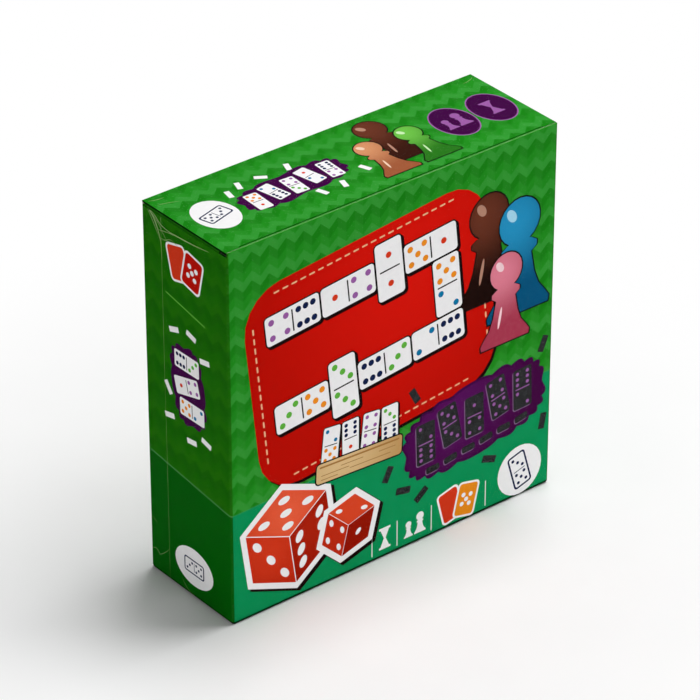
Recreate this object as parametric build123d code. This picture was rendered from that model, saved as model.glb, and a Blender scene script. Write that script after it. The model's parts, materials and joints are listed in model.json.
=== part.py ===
from build123d import *
import os
from math import radians, tan

os.makedirs("parts", exist_ok=True)

# A standing carton of folded board in shrink film, with two packs of domino cards in it.
# X runs along the front panel, -Y is the front, Z is up, and the origin is under the middle of the base.

# Overall size of the wrapped box, in millimetres
width = 175.0
depth = 57.0
height = 179.0

# Board, creases and film
board = 0.8
crease_radius = 1.2
base_fold_radius = 0.7
film = 0.1
film_gap = 0.15
hinge_gap = 0.05
layer_gap = 0.1

# Lid panel and tuck flap
lid_side_gap = 0.4
lid_front_gap = 0.25
tuck_length = 15.0
tuck_side_gap = 1.2
tuck_corner = 8.0
tuck_lean = 11.0
slit_length = 7.5
slit_width = 1.2
slit_play = 0.3
tuck_fold_gap = 0.15

# Dust flaps under the lid
dust_length = 32.0
dust_front_gap = 4.0
dust_back_gap = 0.8
dust_front_taper = 8.0
dust_back_taper = 43.0
dust_corner = 3.0

# Glue flap and bottom flaps
glue_width = 14.0
glue_end_gap = 3.0
glue_taper = 15.0
bottom_side_gap = 0.3
minor_length = 42.0
minor_end_gap = 0.6
minor_taper = 12.0

# Cards: two packs side by side, each a row of cards on edge
highest_value = 6
copies = 2
pack_side_clearance = 4.4
pack_gap = 4.0
pack_front_clearance = 5.0
pack_back_clearance = 4.5
card_headroom = 14.6
card_air = 0.03
card_corner = 5.0

# Paper bands and rules leaflet
band = 0.15
band_height = 34.0
band_play = 0.08
leaflet_side_margin = 7.025
leaflet_height = 118.0
leaflet_thickness = 0.6

# Board carton inside the film
board_width = width - 2 * (film + film_gap)
board_depth = depth - 2 * (film + film_gap)
lid_top = height - film - film_gap
half_width = board_width / 2
half_depth = board_depth / 2
inner_half_width = half_width - board
inner_half_depth = half_depth - board
inner_crease_radius = crease_radius - board

# Three layers of board make the floor
outer_flap_top = film + board
middle_flap_top = film + 2 * board
floor_top = film + 3 * board

# Hinge lines, each in the middle of the board's thickness
lid_axis_y = half_depth - board / 2
lid_axis_z = lid_top - board / 2
tuck_axis_y = -inner_half_depth + lid_front_gap + board / 2
dust_top = lid_top - board - layer_gap
dust_axis_x = half_width - board / 2
dust_axis_z = dust_top - board / 2

# Tops of the walls, just under the folds that they carry
back_wall_top = lid_top - board - hinge_gap
side_wall_top = dust_top - board - hinge_gap

# Card sizes follow the room that the carton leaves
pack_half_span = inner_half_width - pack_side_clearance
card_width = pack_half_span - pack_gap / 2
card_height = dust_top - board - card_headroom - floor_top
designs = [(a, b) for a in range(highest_value + 1) for b in range(a, highest_value + 1)]
cards_per_pack = len(designs) * copies // 2
stack_depth = 2 * inner_half_depth - pack_front_clearance - pack_back_clearance
card_pitch = stack_depth / cards_per_pack
card_thickness = card_pitch - card_air
stack_front = -inner_half_depth + pack_front_clearance
stack_back = stack_front + stack_depth - card_air
pack_centre_x = pack_gap / 2 + card_width / 2
band_middle = floor_top + card_height / 2


def block(x0, x1, y0, y1, z0, z1):
    """A box between two opposite corners."""
    middle = Pos((x0 + x1) / 2, (y0 + y1) / 2, (z0 + z1) / 2)
    return middle * Box(x1 - x0, y1 - y0, z1 - z0)


def rod_along_x(radius, length, y, z):
    """A round fold that runs along X."""
    return Pos(0, y, z) * Rot(0, 90, 0) * Cylinder(radius, length)


def rod_along_y(radius, length, x, y, z):
    """A round fold that runs along Y."""
    return Pos(x, y, z) * Rot(90, 0, 0) * Cylinder(radius, length)


def flat_piece(points, z0, thickness):
    """A flat piece of board cut to an outline seen from above."""
    outline = make_face(Polyline(*points, close=True))
    return Pos(0, 0, z0) * extrude(outline, thickness)


def ring(outer_x, outer_y, wall, radius, z0, z1):
    """A closed sleeve with rounded upright corners."""
    outer = RectangleRounded(outer_x, outer_y, radius)
    inner = RectangleRounded(outer_x - 2 * wall, outer_y - 2 * wall, radius - wall)
    return Pos(0, 0, z0) * extrude(outer - inner, z1 - z0)


def wall_panel(side, z0, z1):
    """One of the four walls, mitred to its neighbours at the upright creases."""
    sleeve = ring(board_width, board_depth, board, crease_radius, z0, z1)
    reach = crease_radius * 3
    corners = {
        "front": (-1, -1, 1, -1),
        "back": (1, 1, -1, 1),
        "left": (-1, 1, -1, -1),
        "right": (1, -1, 1, 1),
    }[side]
    ax, ay, bx, by = corners
    points = [
        (ax * (half_width + reach), ay * (half_depth + reach)),
        (bx * (half_width + reach), by * (half_depth + reach)),
        (bx * (half_width - reach), by * (half_depth - reach)),
        (ax * (half_width - reach), ay * (half_depth - reach)),
    ]
    return sleeve & flat_piece(points, z0, z1 - z0)


def glue_flap():
    """A strip inside the left side panel, folded from the back panel and glued."""
    drop = (glue_width - inner_crease_radius) * tan(radians(glue_taper))
    y_back = inner_half_depth - inner_crease_radius
    y_front = inner_half_depth - glue_width
    low = floor_top + glue_end_gap
    high = side_wall_top - glue_end_gap
    outline = Polyline((y_back, low), (y_front, low + drop), (y_front, high - drop), (y_back, high), close=True)
    face = Plane(origin=(-inner_half_width, 0, 0), x_dir=(0, 1, 0), z_dir=(1, 0, 0)) * make_face(outline)
    return extrude(face, board)


def bottom_flap_outer():
    """The outer bottom flap: it folds from the back panel and ends flush with the front panel."""
    outline = RectangleRounded(2 * (half_width - bottom_side_gap), board_depth, crease_radius)
    flap = Pos(0, 0, film) * extrude(outline, board)
    fold = flap.edges().filter_by(Axis.X).group_by(Axis.Y)[-1].sort_by(Axis.Z)[0]
    return fillet(fold, base_fold_radius)


def bottom_flap_middle():
    """The middle bottom flap: it folds from the front panel."""
    span = 2 * (half_width - bottom_side_gap)
    outline = RectangleRounded(span, 2 * inner_half_depth, crease_radius + bottom_side_gap)
    return Pos(0, 0, outer_flap_top) * extrude(outline, board)


def bottom_flap_inner(sign):
    """A short bottom flap that folds in from one side panel."""
    half_span = inner_half_depth - minor_end_gap
    tip_half_span = half_span - minor_length * tan(radians(minor_taper))
    root_x = sign * inner_half_width
    tip_x = sign * (inner_half_width - minor_length)
    points = [(root_x, -half_span), (root_x, half_span), (tip_x, tip_half_span), (tip_x, -tip_half_span)]
    return flat_piece(points, middle_flap_top, board)


def lid_panel():
    """The top panel, with a round fold at the back and lock slits at the ends of its front fold."""
    half_span = half_width - lid_side_gap
    fold_half_span = half_span - slit_length + slit_play
    fold_front = tuck_axis_y + board / 2 + tuck_fold_gap
    tab_front = tuck_axis_y - board / 2
    points = [
        (-half_span, lid_axis_y),
        (-half_span, tab_front),
        (-fold_half_span, tab_front),
        (-fold_half_span, fold_front),
        (fold_half_span, fold_front),
        (fold_half_span, tab_front),
        (half_span, tab_front),
        (half_span, lid_axis_y),
    ]
    panel = flat_piece(points, lid_top - board, board)
    return panel + rod_along_x(board / 2, 2 * half_span, lid_axis_y, lid_axis_z)


def tuck_flap():
    """The flap that tucks in behind the front panel, leaning inwards from its fold."""
    fold_half_span = half_width - lid_side_gap - slit_length
    half_span = inner_half_width - tuck_side_gap
    top = lid_axis_z
    shoulder = top - slit_width
    bottom = top - tuck_length
    front = tuck_axis_y - board / 2
    back = tuck_axis_y + board / 2
    neck = block(-fold_half_span, fold_half_span, front, back, shoulder, top)
    blade = block(-half_span, half_span, front, back, bottom, shoulder)
    low_corners = blade.edges().filter_by(Axis.Y).group_by(Axis.Z)[0]
    blade = fillet(low_corners, tuck_corner)
    flap = neck + blade + rod_along_x(board / 2, 2 * fold_half_span, tuck_axis_y, lid_axis_z)
    fold = Axis((0, tuck_axis_y, lid_axis_z), (1, 0, 0))
    return flap.rotate(fold, tuck_lean)


def dust_flap(sign):
    """A side flap under the lid, tapered so that it can swing up beside the lid and the tuck flap."""
    hinge_x = sign * dust_axis_x
    tip_x = sign * (dust_axis_x - dust_length)
    front = -inner_half_depth + dust_front_gap
    back = inner_half_depth - dust_back_gap
    tip_front = front + dust_length * tan(radians(dust_front_taper))
    tip_back = back - dust_length * tan(radians(dust_back_taper))
    points = [(hinge_x, front), (hinge_x, back), (tip_x, tip_back), (tip_x, tip_front)]
    flap = flat_piece(points, dust_top - board, board)
    upright_edges = flap.edges().filter_by(Axis.Z).sort_by(Axis.X)
    tip_corners = upright_edges[-2:] if sign < 0 else upright_edges[:2]
    flap = fillet(tip_corners, dust_corner)
    middle_y = (front + back) / 2
    return flap + rod_along_y(board / 2, back - front, hinge_x, middle_y, dust_axis_z)


def domino_card(sign, place):
    """One card on edge, in the row of the pack on that side."""
    front = stack_front + place * card_pitch
    blank = RectangleRounded(card_width, card_height, card_corner)
    standing = Rot(90, 0, 0) * extrude(blank, -card_thickness)
    return Pos(sign * pack_centre_x, front, floor_top + card_height / 2) * standing


def design_cards(index):
    """The cards of one design, next to each other in their pack, with the highest design in front."""
    per_pack = len(designs) // 2
    sign = -1 if index < per_pack else 1
    first = (per_pack - 1 - index % per_pack) * copies
    return Compound(children=[domino_card(sign, first + copy) for copy in range(copies)])


def paper_band(sign, front, back):
    """A strip of paper glued into a sleeve round one pack."""
    inside_x = card_width + 2 * band_play
    inside_y = back - front + 2 * band_play
    centre = Pos(sign * pack_centre_x, (front + back) / 2, band_middle - band_height / 2)
    outer = Rectangle(inside_x + 2 * band, inside_y + 2 * band)
    return centre * extrude(outer - Rectangle(inside_x, inside_y), band_height)


def rules_leaflet():
    """The folded rules sheet, held flat against the right pack by its band."""
    half_span = card_width / 2 - leaflet_side_margin
    back = stack_front - card_air
    front = back - leaflet_thickness
    low = band_middle - leaflet_height / 2
    return block(
        pack_centre_x - half_span, pack_centre_x + half_span, front, back, low, low + leaflet_height
    )


def film_sleeve():
    """The shrink film round the four walls."""
    return ring(width, depth, film, crease_radius + film_gap + film, film, back_wall_top - board)


def film_base():
    """The shrink film under the base, which the box stands on."""
    blank = RectangleRounded(width - 2 * film, depth - 2 * film, crease_radius)
    return extrude(blank, film)


def film_lid():
    """The shrink film over the lid, slit free along the lid's three open edges."""
    half_span = half_width - lid_side_gap
    front = tuck_axis_y - board / 2
    back = lid_axis_y - 2 * board
    return block(-half_span, half_span, front, back, height - film, height)


nodes = {
    "front_panel": wall_panel("front", outer_flap_top, lid_top),
    "back_panel": wall_panel("back", outer_flap_top, back_wall_top),
    "left_side_panel": wall_panel("left", middle_flap_top, side_wall_top),
    "right_side_panel": wall_panel("right", middle_flap_top, side_wall_top),
    "glue_flap": glue_flap(),
    "bottom_flap_back": bottom_flap_outer(),
    "bottom_flap_front": bottom_flap_middle(),
    "bottom_flap_left": bottom_flap_inner(-1),
    "bottom_flap_right": bottom_flap_inner(1),
    "film_sleeve": film_sleeve(),
    "film_base": film_base(),
    "lid_panel": lid_panel(),
    "film_lid": film_lid(),
    "tuck_flap": tuck_flap(),
    "dust_flap_left": dust_flap(-1),
    "dust_flap_right": dust_flap(1),
    "paper_band_left": paper_band(-1, stack_front, stack_back),
    "paper_band_right": paper_band(1, stack_front - card_air - leaflet_thickness, stack_back),
    "rules_leaflet": rules_leaflet(),
}
for index, (low, high) in enumerate(designs):
    nodes[f"card_{low}_{high}"] = design_cards(index)

for name, shape in nodes.items():
    export_step(shape, f"parts/{name}.step")
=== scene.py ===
import json
from math import cos, pi, radians, sin

import bmesh
import bpy
from mathutils import Matrix, Vector


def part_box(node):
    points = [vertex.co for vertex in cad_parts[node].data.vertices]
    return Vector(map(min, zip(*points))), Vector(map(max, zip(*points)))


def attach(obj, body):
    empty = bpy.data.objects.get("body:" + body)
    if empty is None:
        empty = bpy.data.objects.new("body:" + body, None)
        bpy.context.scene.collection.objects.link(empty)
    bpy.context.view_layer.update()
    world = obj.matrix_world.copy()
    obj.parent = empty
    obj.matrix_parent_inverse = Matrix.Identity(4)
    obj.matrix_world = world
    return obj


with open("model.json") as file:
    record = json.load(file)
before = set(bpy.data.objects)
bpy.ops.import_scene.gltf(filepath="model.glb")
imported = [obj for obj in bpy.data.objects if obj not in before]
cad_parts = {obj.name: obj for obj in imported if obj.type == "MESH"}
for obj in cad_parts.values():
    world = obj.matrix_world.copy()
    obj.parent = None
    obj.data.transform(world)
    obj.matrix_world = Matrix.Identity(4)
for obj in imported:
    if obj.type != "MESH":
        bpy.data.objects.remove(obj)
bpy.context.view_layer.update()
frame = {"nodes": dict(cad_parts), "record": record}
nodes = frame["nodes"]
bpy.ops.object.select_all(action="DESELECT")

# Carton walls: one blank of 0.8 mm white-lined chipboard, offset printed, matt laminated, die cut and
# creased. Outside it has green chevrons above a slanted line and teal below it. On the two sides both are
# made darker as painted shade, as if those faces stood away from the light. The matt laminate leaves even
# colour with hardly any shine, and the inside is the bare white liner.
MM = 0.001
BOARD = 0.8
CREASE_RADIUS = 1.2
SKIN = 0.06
SIDE_FACING, TOP_FACING = 0.2, 0.7
CHEVRON_PERIOD = 8.8
CHEVRON_RISE = 4.0
CHEVRON_ROW = 4.4
CHEVRON_TONES = ("#359A35", "#259122", "#1C8518")
GLEAM, GLEAM_SHARE = "#4BA64A", 0.12
SIDE_CALM = 0.4
# Painted shade: the green on the sides is multiplied by the next colour, and their teal is darker and greener
SIDE_PAINTED_SHADE = (0.5, 0.54, 0.03, 1.0)
TEAL, SIDE_TEAL_PAINTED_SHADE, GREEN_IN_TEAL = "#08975F", "#005F08", 0.08
TEAL_SLOPE = (0.0236, 0.116, -1.0)
TEAL_HEIGHT = 59.4
TEAL_LINE, TEAL_LINE_WIDTH = "#6DB578", 0.7
LINE_SHARE, SIDE_LINE_SHARE = 0.12, 0.3
MOTTLE, MOTTLE_SHARE = "#1A7415", 0.3
SCUFF, SCUFF_SHARE = "#7DBB78", 0.1
SCUFF_FROM, SCUFF_TO = 0.46, 0.74
SCUFF_BEND = 0.22
CHIP_CORE = ("#A69D8D", "#C9C1B1")
LINER = ("#DFDACE", "#EFECE4")
# Painted highlight: the front panel's cut edges are coloured green, not bare board, to stand for the light
# caught along the front's top edge.
FRONT_EDGE_PAINTED_HIGHLIGHT = ("#2E8A24", "#429C34")
# Painted shade: the next two edge tones colour cut edges that lie in gaps or along the floor dark green and
# near-black, as shade.
SIDE_EDGE_PAINTED_SHADE = ("#0B4A08", "#145A0D")
SHADED_EDGE = ("#011A01", "#032C03")
RIM = 0.7
FOOT, FOOT_SHADE = (1.3, 1.6), 0.94
BLEED_RAG = 0.6
MATT_LAMINATE = {"Roughness": 0.5, "Specular IOR Level": 0.005}
COLOUR_MIX = {"out": 2, "data_type": "RGBA"}


def linear(code):
    """An sRGB hex colour as linear RGBA."""
    parts = [int(code[i:i + 2], 16) / 255 for i in (1, 3, 5)]
    return [c / 12.92 if c <= 0.04045 else ((c + 0.055) / 1.055) ** 2.4 for c in parts] + [1.0]


def start_material(name, constants):
    """A new material, with constants on its shader's own sockets."""
    material = bpy.data.materials.new(name)
    material.use_nodes = True
    for socket, value in constants.items():
        material.node_tree.nodes["Principled BSDF"].inputs[socket].default_value = value
    return material


def add(material, kind, inputs=None, out=0, **settings):
    """Adds a node and returns one of its outputs; inputs are values or the outputs that feed it."""
    node = material.node_tree.nodes.new("ShaderNode" + kind)
    for setting, value in settings.items():
        setattr(node, setting, value)
    for socket, value in (inputs or {}).items():
        if isinstance(value, bpy.types.NodeSocket):
            material.node_tree.links.new(value, node.inputs[socket])
        else:
            node.inputs[socket].default_value = value
    return node.outputs[out]


def in_millimetres(material):
    """A point's place on the object, in millimetres."""
    metres = add(material, "TexCoord", out="Object")
    return add(material, "VectorMath", {0: metres, "Scale": 1 / MM}, operation="SCALE")


def set_stops(ramp_output, stops, interpolation="LINEAR"):
    """Gives a colour ramp its stops, as positions and hex colours."""
    ramp = ramp_output.node.color_ramp
    ramp.interpolation = interpolation
    while len(ramp.elements) < len(stops):
        ramp.elements.new(1.0)
    for element, (position, code) in zip(ramp.elements, stops):
        element.position = position
        element.color = linear(code)
    return ramp_output


def surfaced(material, colour, height=None, strength=0.0, depth=0.0):
    """Gives a material its colour, and relief from a height with a depth in millimetres."""
    shader = material.node_tree.nodes["Principled BSDF"]
    material.node_tree.links.new(colour, shader.inputs["Base Color"])
    if height is not None:
        relief = add(material, "Bump", {"Height": height, "Strength": strength, "Distance": depth * MM})
        material.node_tree.links.new(relief, shader.inputs["Normal"])
    return material


def finish(node, material):
    """Gives a CAD node its only material."""
    nodes[node].data.materials.clear()
    nodes[node].data.materials.append(material)


def corner_of(node, lowest):
    """A node's lowest or highest corner in millimetres."""
    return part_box(node)[0 if lowest else 1] / MM


front_y = -corner_of("front_panel", True).y
side_x = corner_of("right_side_panel", False).x


def printed_board(name, across, up, radius, edge=CHIP_CORE, bleed=None):
    """Printed board folded round an edge; across and up are a direction and that edge's place along it."""
    material = start_material(name, MATT_LAMINATE)
    place = in_millimetres(material)
    folded = add(material, "VectorMath", {0: place}, operation="ABSOLUTE")
    reach = []
    for direction, offset in (across, up):
        along = add(material, "VectorMath", {0: folded, 1: direction}, out="Value", operation="DOT_PRODUCT")
        reach.append(add(material, "Math", {0: along, 1: offset}, operation="SUBTRACT"))
    outer = [add(material, "Math", {0: r, 1: 0.0}, operation="MAXIMUM") for r in reach]
    pair = add(material, "CombineXYZ", {0: outer[0], 1: outer[1]})
    away = add(material, "VectorMath", {0: pair}, out="Value", operation="LENGTH")
    within = add(material, "Math", {0: reach[0], 1: reach[1]}, operation="MAXIMUM")
    within = add(material, "Math", {0: within, 1: 0.0}, operation="MINIMUM")
    depth = add(material, "Math", {0: away, 1: within}, operation="ADD")
    printed = add(material, "Math", {0: depth, 1: radius - SKIN}, operation="GREATER_THAN")
    lined = add(material, "Math", {0: depth, 1: radius - BOARD + SKIN}, operation="LESS_THAN")
    rim = add(material, "VectorMath", {0: folded, 1: (side_x - RIM, front_y - RIM, 0)}, operation="SUBTRACT")
    rim = add(material, "SeparateXYZ", {0: rim}, out="X").node
    rim = add(material, "Math", {0: rim.outputs["X"], 1: rim.outputs["Y"]}, operation="MAXIMUM")
    inside = add(material, "Math", {0: rim, 1: 0.0}, operation="LESS_THAN")
    lined = add(material, "Math", {0: lined, 1: inside}, operation="MULTIPLY")

    # Chevrons lie along X on the front, back and top, and along Y on the sides
    split = add(material, "SeparateXYZ", {0: place}, out="X").node
    normal = add(material, "VectorMath", {0: add(material, "TexCoord", out="Normal")}, operation="ABSOLUTE")
    facing = add(material, "SeparateXYZ", {0: normal}, out="X").node
    side = add(material, "Math", {0: facing.outputs["X"], 1: SIDE_FACING}, operation="GREATER_THAN")
    flat = add(material, "Math", {0: facing.outputs["Z"], 1: TOP_FACING}, operation="GREATER_THAN")
    u = add(material, "Mix", {"Factor": side, "A": split.outputs["X"], "B": split.outputs["Y"]})
    v = add(material, "Mix", {"Factor": flat, "A": split.outputs["Z"], "B": split.outputs["Y"]})
    wave = add(material, "Math", {0: u, 1: CHEVRON_PERIOD / 2}, operation="PINGPONG")
    slope = -2 * CHEVRON_RISE / CHEVRON_PERIOD
    drop = add(material, "Math", {0: wave, 1: slope, 2: v}, operation="MULTIPLY_ADD")
    turns = add(material, "Math", {0: drop, 1: 3 * CHEVRON_ROW}, operation="DIVIDE")
    tone = add(material, "Math", {0: turns}, operation="FRACT")
    ramp = add(material, "ValToRGB", {0: tone}, out="Color")
    green = set_stops(ramp, [(k / 3, CHEVRON_TONES[k]) for k in range(3)], "CONSTANT")
    fold = add(material, "Math", {0: u, 1: CHEVRON_PERIOD}, operation="DIVIDE")
    fold = add(material, "Math", {0: fold}, operation="FRACT")
    lit = add(material, "Math", {0: fold, 1: 0.5}, operation="GREATER_THAN")
    lit = add(material, "Math", {0: lit, 1: GLEAM_SHARE}, operation="MULTIPLY")
    green = add(material, "Mix", {"Factor": lit, 6: green, 7: linear(GLEAM)}, **COLOUR_MIX)
    calm = add(material, "Math", {0: side, 1: SIDE_CALM}, operation="MULTIPLY")
    green = add(material, "Mix", {"Factor": calm, 6: green, 7: linear(CHEVRON_TONES[1])}, **COLOUR_MIX)
    # Painted shade: the green on the side faces is multiplied darker
    green = add(material, "Mix", {"Factor": side, 6: green, 7: SIDE_PAINTED_SHADE}, blend_type="MULTIPLY",
                **COLOUR_MIX)

    # The slanted change to teal, with a light line along it that shows most on the sides
    above = add(material, "VectorMath", {0: place, 1: TEAL_SLOPE}, out="Value", operation="DOT_PRODUCT")
    above = add(material, "Math", {0: above, 1: TEAL_HEIGHT}, operation="ADD")
    low = add(material, "Math", {0: above, 1: 0.0}, operation="GREATER_THAN")
    # Painted shade: the teal on the side faces is a darker green
    teal = add(material, "Mix", {"Factor": side, 6: linear(TEAL), 7: linear(SIDE_TEAL_PAINTED_SHADE)}, **COLOUR_MIX)
    teal = add(material, "Mix", {"Factor": GREEN_IN_TEAL, 6: teal, 7: green}, **COLOUR_MIX)
    colour = add(material, "Mix", {"Factor": low, 6: green, 7: teal}, **COLOUR_MIX)
    near = add(material, "Math", {0: above, 1: 0.0, 2: TEAL_LINE_WIDTH / 2}, operation="COMPARE")
    share = {0: side, 1: SIDE_LINE_SHARE, 2: LINE_SHARE}
    line = add(material, "Math", share, operation="MULTIPLY_ADD")
    line = add(material, "Math", {0: near, 1: line}, operation="MULTIPLY")
    colour = add(material, "Mix", {"Factor": line, 6: colour, 7: linear(TEAL_LINE)}, **COLOUR_MIX)

    # Ink mottle, and whitening where the crease stretches the laminate
    mottle = add(material, "TexNoise", {"Vector": place, "Scale": 0.16, "Detail": 4.0})
    mottle = add(material, "Math", {0: mottle, 1: MOTTLE_SHARE}, operation="MULTIPLY")
    colour = add(material, "Mix", {"Factor": mottle, 6: colour, 7: linear(MOTTLE)}, blend_type="SOFT_LIGHT",
                 **COLOUR_MIX)
    bend = add(material, "Math", {0: outer[0], 1: outer[1]}, operation="MULTIPLY")
    bend = add(material, "Math", {0: bend, 1: radius * radius * SCUFF_BEND}, operation="GREATER_THAN")
    scuff = add(material, "TexNoise", {"Vector": place, "Scale": 1.1, "Detail": 5.0, "Roughness": 0.7})
    scuff = add(material, "MapRange", {0: scuff, 1: SCUFF_FROM, 2: SCUFF_TO, 3: 0.0, 4: SCUFF_SHARE})
    worn = add(material, "Math", {0: bend, 1: scuff}, operation="MULTIPLY")
    colour = add(material, "Mix", {"Factor": worn, 6: colour, 7: linear(SCUFF)}, **COLOUR_MIX)

    # Painted shade: the foot of each wall darkens to near-black where it turns under into the base fold,
    # as the shade next to the floor
    painted_foot_shade = add(material, "MapRange", {0: split.outputs["Z"], 1: FOOT[0], 2: FOOT[1], 3: FOOT_SHADE, 4: 0.0})
    colour = add(material, "Mix", {"Factor": painted_foot_shade, 6: colour, 7: linear(SHADED_EDGE[0])}, **COLOUR_MIX)

    # Cut edges show bare board, a painted highlight or painted shade, as the edge tones given; the inside
    # shows a white liner with fibres, and a bleed stops past its fold
    fibre = add(material, "TexNoise", {"Vector": place, "Scale": 2.2, "Detail": 6.0, "Distortion": 1.4})
    edge_tone = set_stops(add(material, "ValToRGB", {0: fibre}, out="Color"), [(0.3, edge[0]), (0.75, edge[1])])
    liner = set_stops(add(material, "ValToRGB", {0: fibre}, out="Color"), [(0.3, LINER[0]), (0.7, LINER[1])])
    if bleed:
        ragged = add(material, "Math", {0: fibre, 1: BLEED_RAG, 2: reach[0]}, operation="MULTIPLY_ADD")
        inked = add(material, "Math", {0: ragged, 1: -bleed}, operation="GREATER_THAN")
        colour = add(material, "Mix", {"Factor": inked, 6: liner, 7: colour}, **COLOUR_MIX)
    board = add(material, "Mix", {"Factor": lined, 6: edge_tone, 7: liner}, **COLOUR_MIX)
    colour = add(material, "Mix", {"Factor": printed, 6: board, 7: colour}, **COLOUR_MIX)
    grain = add(material, "TexNoise", {"Vector": place, "Scale": 0.9, "Detail": 3.0})
    return surfaced(material, colour, grain, strength=0.25, depth=0.02)


wall_fold = (((1, 0, 0), side_x - CREASE_RADIUS), ((0, 1, 0), front_y - CREASE_RADIUS), CREASE_RADIUS)
side_board = printed_board("laminated_board_side", *wall_fold, edge=SIDE_EDGE_PAINTED_SHADE)
finish("left_side_panel", side_board)
finish("right_side_panel", side_board)
finish("back_panel", printed_board("laminated_board_back", *wall_fold))
finish("front_panel", printed_board("laminated_board_front", *wall_fold, edge=FRONT_EDGE_PAINTED_HIGHLIGHT))

# Bottom flaps and glue flap: the two large flaps are printed underneath, and their cut edges are coloured
# dark green and near-black as painted shade by the floor. The short flaps and the glue flap inside the
# left wall show the bare white liner, which looks dull, with fine fibres.


def plain_board(name):
    """Bare white-lined board."""
    material = start_material(name, {"Roughness": 0.75, "Specular IOR Level": 0.2})
    place = in_millimetres(material)
    fibre = add(material, "TexNoise", {"Vector": place, "Scale": 1.6, "Detail": 7.0, "Distortion": 2.0})
    ramp = add(material, "ValToRGB", {0: fibre}, out="Color")
    colour = set_stops(ramp, [(0.28, "#CFC9BC"), (0.42, "#E4DFD4"), (0.7, "#EFECE4")])
    return surfaced(material, colour, fibre, strength=0.4, depth=0.03)


liner_board = plain_board("white_lined_board")
for node in ("glue_flap", "bottom_flap_left", "bottom_flap_right"):
    finish(node, liner_board)
for node, edge in (("bottom_flap_back", SHADED_EDGE), ("bottom_flap_front", SIDE_EDGE_PAINTED_SHADE)):
    flap_top = corner_of(node, False).z
    flat_fold = (((0, 0, -1), -flap_top), ((0, 1, 0), 2 * front_y), BOARD)
    finish(node, printed_board("laminated_board_" + node, *flat_fold, edge=edge))

# Dust flaps: two short flaps of the same board that fold in from the tops of the side walls, under the lid.
# They are printed over the fold and 5 mm past it, where the ink ends in a ragged line, and then bare.
FOLD = BOARD / 2
BLEED = 5.0
dust_fold_x = corner_of("dust_flap_right", False).x - FOLD
dust_fold_z = corner_of("dust_flap_right", False).z - FOLD
dust_fold = (((1, 0, 0), dust_fold_x), ((0, 0, 1), dust_fold_z), FOLD)
# Painted shade: the dust flaps' cut edges are coloured near-black, as the shade under the lid.
dust_board = printed_board("laminated_board_dust_flap", *dust_fold, edge=SHADED_EDGE, bleed=BLEED)
for node in ("dust_flap_left", "dust_flap_right"):
    finish(node, dust_board)

# Lid panel and tuck flap: the lid folds from the back panel and the tuck flap from the lid. The lid's cut
# edges lie down in the gap over the walls and are coloured nearly black, as painted shade of that gap. The
# tuck flap's own edges are coloured the dark green of the side walls, itself darkened by painted shade.
TUCK_LEAN = radians(11)
TUCK_EDGE = ("#145E04", "#196A06")
lid_top = corner_of("lid_panel", False).z
lid_fold_y = corner_of("lid_panel", False).y - FOLD
tuck_fold_y = corner_of("tuck_flap", True).y + FOLD
fold_z = lid_top - FOLD
lid_fold = (((0, 1, 0), lid_fold_y), ((0, 0, 1), fold_z), FOLD)
finish("lid_panel", printed_board("laminated_board_lid", *lid_fold, edge=SHADED_EDGE))
tuck_out = Vector((0, cos(TUCK_LEAN), -sin(TUCK_LEAN)))
tuck_fold = ((tuck_out, tuck_out.dot(Vector((0, -tuck_fold_y, fold_z)))), ((0, 0, 1), fold_z), FOLD)
finish("tuck_flap", printed_board("laminated_board_tuck", *tuck_fold, edge=TUCK_EDGE))

# Front print, play mat: offset inks under the laminate, matt and faintly mottled. They are drawn as thin
# closed sheets, each level a little above the last. A red cloth mat has stitches along its edge and a
# chain of dominoes that turns corners.
LAYER = 0.013
LAYER_THICKNESS = 0.01
CORNER_STEPS = 5
DISC_STEPS = 28
SPECKS_FROM, SPECKS_TO = 0.35, 0.65
SPECKS_SHARE, SPECKS_SHADE = 0.09, 0.72
MAT = (-12.0, 112.0, 128.0, 100.0)
MAT_TURN = 6.0
MAT_RADIUS = 20.0
MAT_HEM = 4.5
STITCH, STITCH_STEP = (2.9, 0.8), 4.6
TILE = (14.0, 28.0)
TILE_CORNER = 0.12
TILE_LINE = (0.76, 0.05, 0.02)


def ink(name, colour, shade=None, middle=(0, 0, 0), reach=1.0):
    """A matt printing ink; shade is its second tone, reached at some distance in millimetres from middle."""
    material = start_material(name, MATT_LAMINATE)
    place = in_millimetres(material)
    mottle = add(material, "TexNoise", {"Vector": place, "Scale": 0.5, "Detail": 4.0})
    tone = add(material, "MapRange", {0: mottle, 1: SPECKS_FROM, 2: SPECKS_TO, 3: 0.0, 4: SPECKS_SHARE})
    base = linear(colour)
    if shade:
        away = add(material, "VectorMath", {0: place, 1: middle}, out="Value", operation="DISTANCE")
        far = add(material, "MapRange", {0: away, 1: 0.0, 2: reach}, interpolation_type="SMOOTHSTEP")
        base = add(material, "Mix", {"Factor": far, 6: linear(colour), 7: linear(shade)}, **COLOUR_MIX)
    dark = [c * SPECKS_SHADE for c in linear(colour)[:3]] + [1.0]
    return surfaced(material, add(material, "Mix", {"Factor": tone, 6: base, 7: dark}, **COLOUR_MIX))


def placed(points, x, y, turn):
    """Points turned by degrees and moved."""
    c, s = cos(radians(turn)), sin(radians(turn))
    return [(x + c * px - s * py, y + s * px + c * py) for px, py in points]


def card(x, y, width, height, radius, turn=0.0):
    """The outline of a card with round corners."""
    points = []
    for side_u, side_v, start in ((1, 1, 0), (-1, 1, 90), (-1, -1, 180), (1, -1, 270)):
        for step in range(CORNER_STEPS + 1):
            angle = radians(start + 90 * step / CORNER_STEPS)
            points.append((side_u * (width / 2 - radius) + radius * cos(angle),
                           side_v * (height / 2 - radius) + radius * sin(angle)))
    return placed(points, x, y, turn)


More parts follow.
